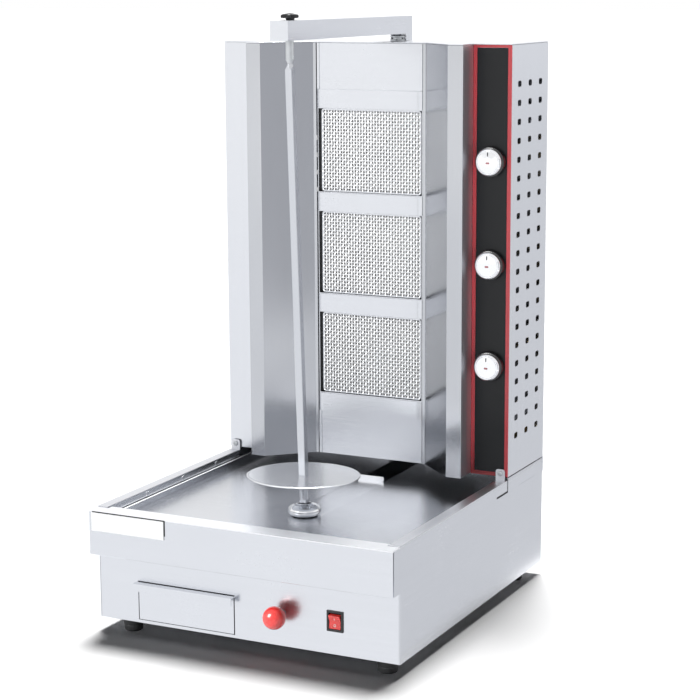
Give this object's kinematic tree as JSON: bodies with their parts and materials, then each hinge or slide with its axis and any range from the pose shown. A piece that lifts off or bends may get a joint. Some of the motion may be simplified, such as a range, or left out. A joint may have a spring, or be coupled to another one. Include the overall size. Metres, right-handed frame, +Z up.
{
  "type": "vertical rotisserie broiler",
  "caption": "Upright gas rotisserie broiler: sheet-steel base with drip tray and grease drawer, burner tower with splayed reflectors, leaning driven spit, swing arm, knobs and rocker switch.",
  "frame": {"origin": "middle of the bounding box's footprint, at worktop level", "axes": "+Z up, +X to the right seen from the front, +Y from the front to the back"},
  "size_m": [0.518, 0.642, 0.9545],
  "materials": {
    "stainless": "brushed stainless sheet",
    "polished_stainless": "polished stainless sheet",
    "chrome": "bright chrome",
    "zinc_steel": "zinc-plated steel",
    "gauze_steel": "fine steel gauze",
    "cast_iron": "grey casting",
    "burner_ceramic": "unglazed honeycomb ceramic",
    "black_plastic": "satin",
    "black_paint": "smooth black",
    "red_paint": "smooth red",
    "red_plastic": "gloss red",
    "white_plate": "blank white plate",
    "brass": "machined",
    "foot_rubber": "moulded"
  },
  "bodies": {
    "base": {"base_floor": "stainless", "base_front": "stainless", "base_side_left": "stainless", "base_side_right": "stainless", "base_rear": "stainless", "foot_front_left": "foot_rubber", "foot_front_right": "foot_rubber", "foot_rear_left": "foot_rubber", "foot_rear_right": "foot_rubber", "cable_gland": "black_plastic", "rocker_bezel": "black_plastic", "carriage_rails": "zinc_steel", "housing_side_left": "stainless", "housing_side_right": "stainless", "housing_rear": "stainless", "housing_top": "stainless", "reflector_left": "polished_stainless", "reflector_right": "polished_stainless", "burner_panel": "stainless", "cross_bar_1": "stainless", "cross_bar_2": "stainless", "cross_bar_3": "stainless", "cross_bar_4": "stainless", "burner_gauze_1": "gauze_steel", "burner_tiles_1": "burner_ceramic", "burner_box_1": "cast_iron", "burner_gauze_2": "gauze_steel", "burner_tiles_2": "burner_ceramic", "burner_box_2": "cast_iron", "burner_gauze_3": "gauze_steel", "burner_tiles_3": "burner_ceramic", "burner_box_3": "cast_iron", "fascia_border": "red_paint", "fascia_panel": "black_paint", "gas_manifold": "brass", "tab_screw_left": "zinc_steel", "tab_screw_right": "zinc_steel", "arm_pivot": "zinc_steel"},
    "tray": {"drip_tray": "stainless", "blank_plate": "white_plate"},
    "drawer": {"grease_drawer": "stainless"},
    "rocker": {"rocker": "red_plastic"},
    "carriage": {"carriage": "zinc_steel", "red_ball": "red_plastic", "gearmotor": "cast_iron", "slot_cover": "stainless"},
    "drive": {"drive_shaft": "zinc_steel", "dome_socket": "chrome"},
    "spit": {"spit_bar": "stainless", "spit_disc": "stainless"},
    "knob_1": {"knob_skirt_1": "black_plastic", "knob_cap_1": "chrome"},
    "knob_2": {"knob_skirt_2": "black_plastic", "knob_cap_2": "chrome"},
    "knob_3": {"knob_skirt_3": "black_plastic", "knob_cap_3": "chrome"},
    "arm": {"swing_arm": "stainless"},
    "centre_pin": {"centre_pin": "zinc_steel"},
    "star_knob": {"star_knob": "black_plastic"}
  },
  "joints": [
    {"name": "tray_slide", "type": "slide", "parent": "base", "child": "tray", "axis": [0, -1, 0], "range_m": [0, 0.3]},
    {"name": "drawer_slide", "type": "slide", "parent": "base", "child": "drawer", "axis": [0, -1, 0], "range_m": [0, 0.25]},
    {"name": "rocker_tilt", "type": "hinge", "parent": "base", "child": "rocker", "pos_m": [0.1535, -0.277, 0.073], "axis": [1, 0, 0], "range_deg": [-20, 0]},
    {"name": "carriage_slide", "type": "slide", "parent": "base", "child": "carriage", "axis": [0, 1, 0], "range_m": [-0.02, 0.004]},
    {"name": "drive_spin", "type": "hinge", "parent": "carriage", "child": "drive", "pos_m": [0.02, -0.12, 0.1935], "axis": [0, 0, 1], "continuous": true},
    {"name": "spit_spin", "type": "hinge", "parent": "carriage", "child": "spit", "pos_m": [0.02, -0.12, 0.1935], "axis": [0, -0.0495, 0.9988], "continuous": true},
    {"name": "knob_turn_1", "type": "hinge", "parent": "base", "child": "knob_1", "pos_m": [0.226, 0.125, 0.388], "axis": [0, -1, 0], "range_deg": [0, 180]},
    {"name": "knob_turn_2", "type": "hinge", "parent": "base", "child": "knob_2", "pos_m": [0.226, 0.125, 0.553], "axis": [0, -1, 0], "range_deg": [0, 180]},
    {"name": "knob_turn_3", "type": "hinge", "parent": "base", "child": "knob_3", "pos_m": [0.226, 0.125, 0.718], "axis": [0, -1, 0], "range_deg": [0, 180]},
    {"name": "arm_swing", "type": "hinge", "parent": "base", "child": "arm", "pos_m": [0.02, 0.226, 0.9145], "axis": [0, 0, 1], "range_deg": [-100, 100]},
    {"name": "pin_slide", "type": "slide", "parent": "arm", "child": "centre_pin", "axis": [0, 1, 0], "range_m": [-0.02, 0.004]},
    {"name": "star_turn", "type": "hinge", "parent": "centre_pin", "child": "star_knob", "pos_m": [0.02, -0.154, 0.9485], "axis": [0, 0, 1], "range_deg": [0, 180]}
  ],
  "couplings": [
    {"joint": "drive_spin", "follows": "spit_spin", "ratio": 1},
    {"joint": "pin_slide", "follows": "carriage_slide", "ratio": 1}
  ]
}
